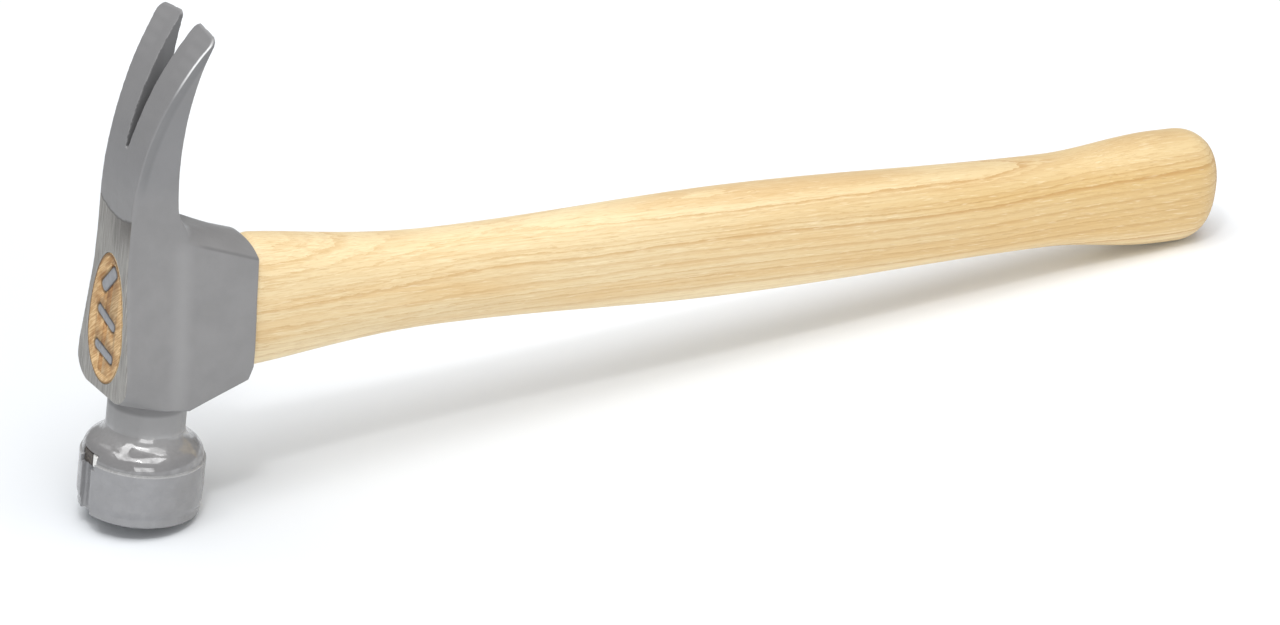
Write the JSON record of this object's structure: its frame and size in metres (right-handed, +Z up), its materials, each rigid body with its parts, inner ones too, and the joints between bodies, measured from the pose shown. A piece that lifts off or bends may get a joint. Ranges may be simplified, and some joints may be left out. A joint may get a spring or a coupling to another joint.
{
  "type": "framing hammer",
  "caption": "Framing hammer with long straight claws, a smooth round poll with a nail starter, and a curved wooden handle wedged into its eye.",
  "frame": {"origin": "centre of the striking face", "axes": "+X from the head towards the butt, +Y across the cheeks, +Z up from the striking face towards the claws, with the hammer tipped by 7.25 degrees to the pose in which it rests on the striking face's edge and on the underside of its butt"},
  "size_m": [0.4066, 0.0372, 0.1559],
  "materials": {
    "head_steel": "satin grey forged steel, with the front face ground bright",
    "hickory": "clear-lacquered hickory",
    "wedge_wood": "end grain, sanded flush",
    "wedge_steel": "ground flush",
    "magnet": "dark sintered magnet"
  },
  "bodies": {
    "root": {"head": "head_steel", "handle": "hickory", "wooden_wedge": "wedge_wood", "steel_wedge_top": "wedge_steel", "steel_wedge_middle": "wedge_steel", "steel_wedge_bottom": "wedge_steel", "nail_magnet": "magnet"}
  },
  "joints": []
}
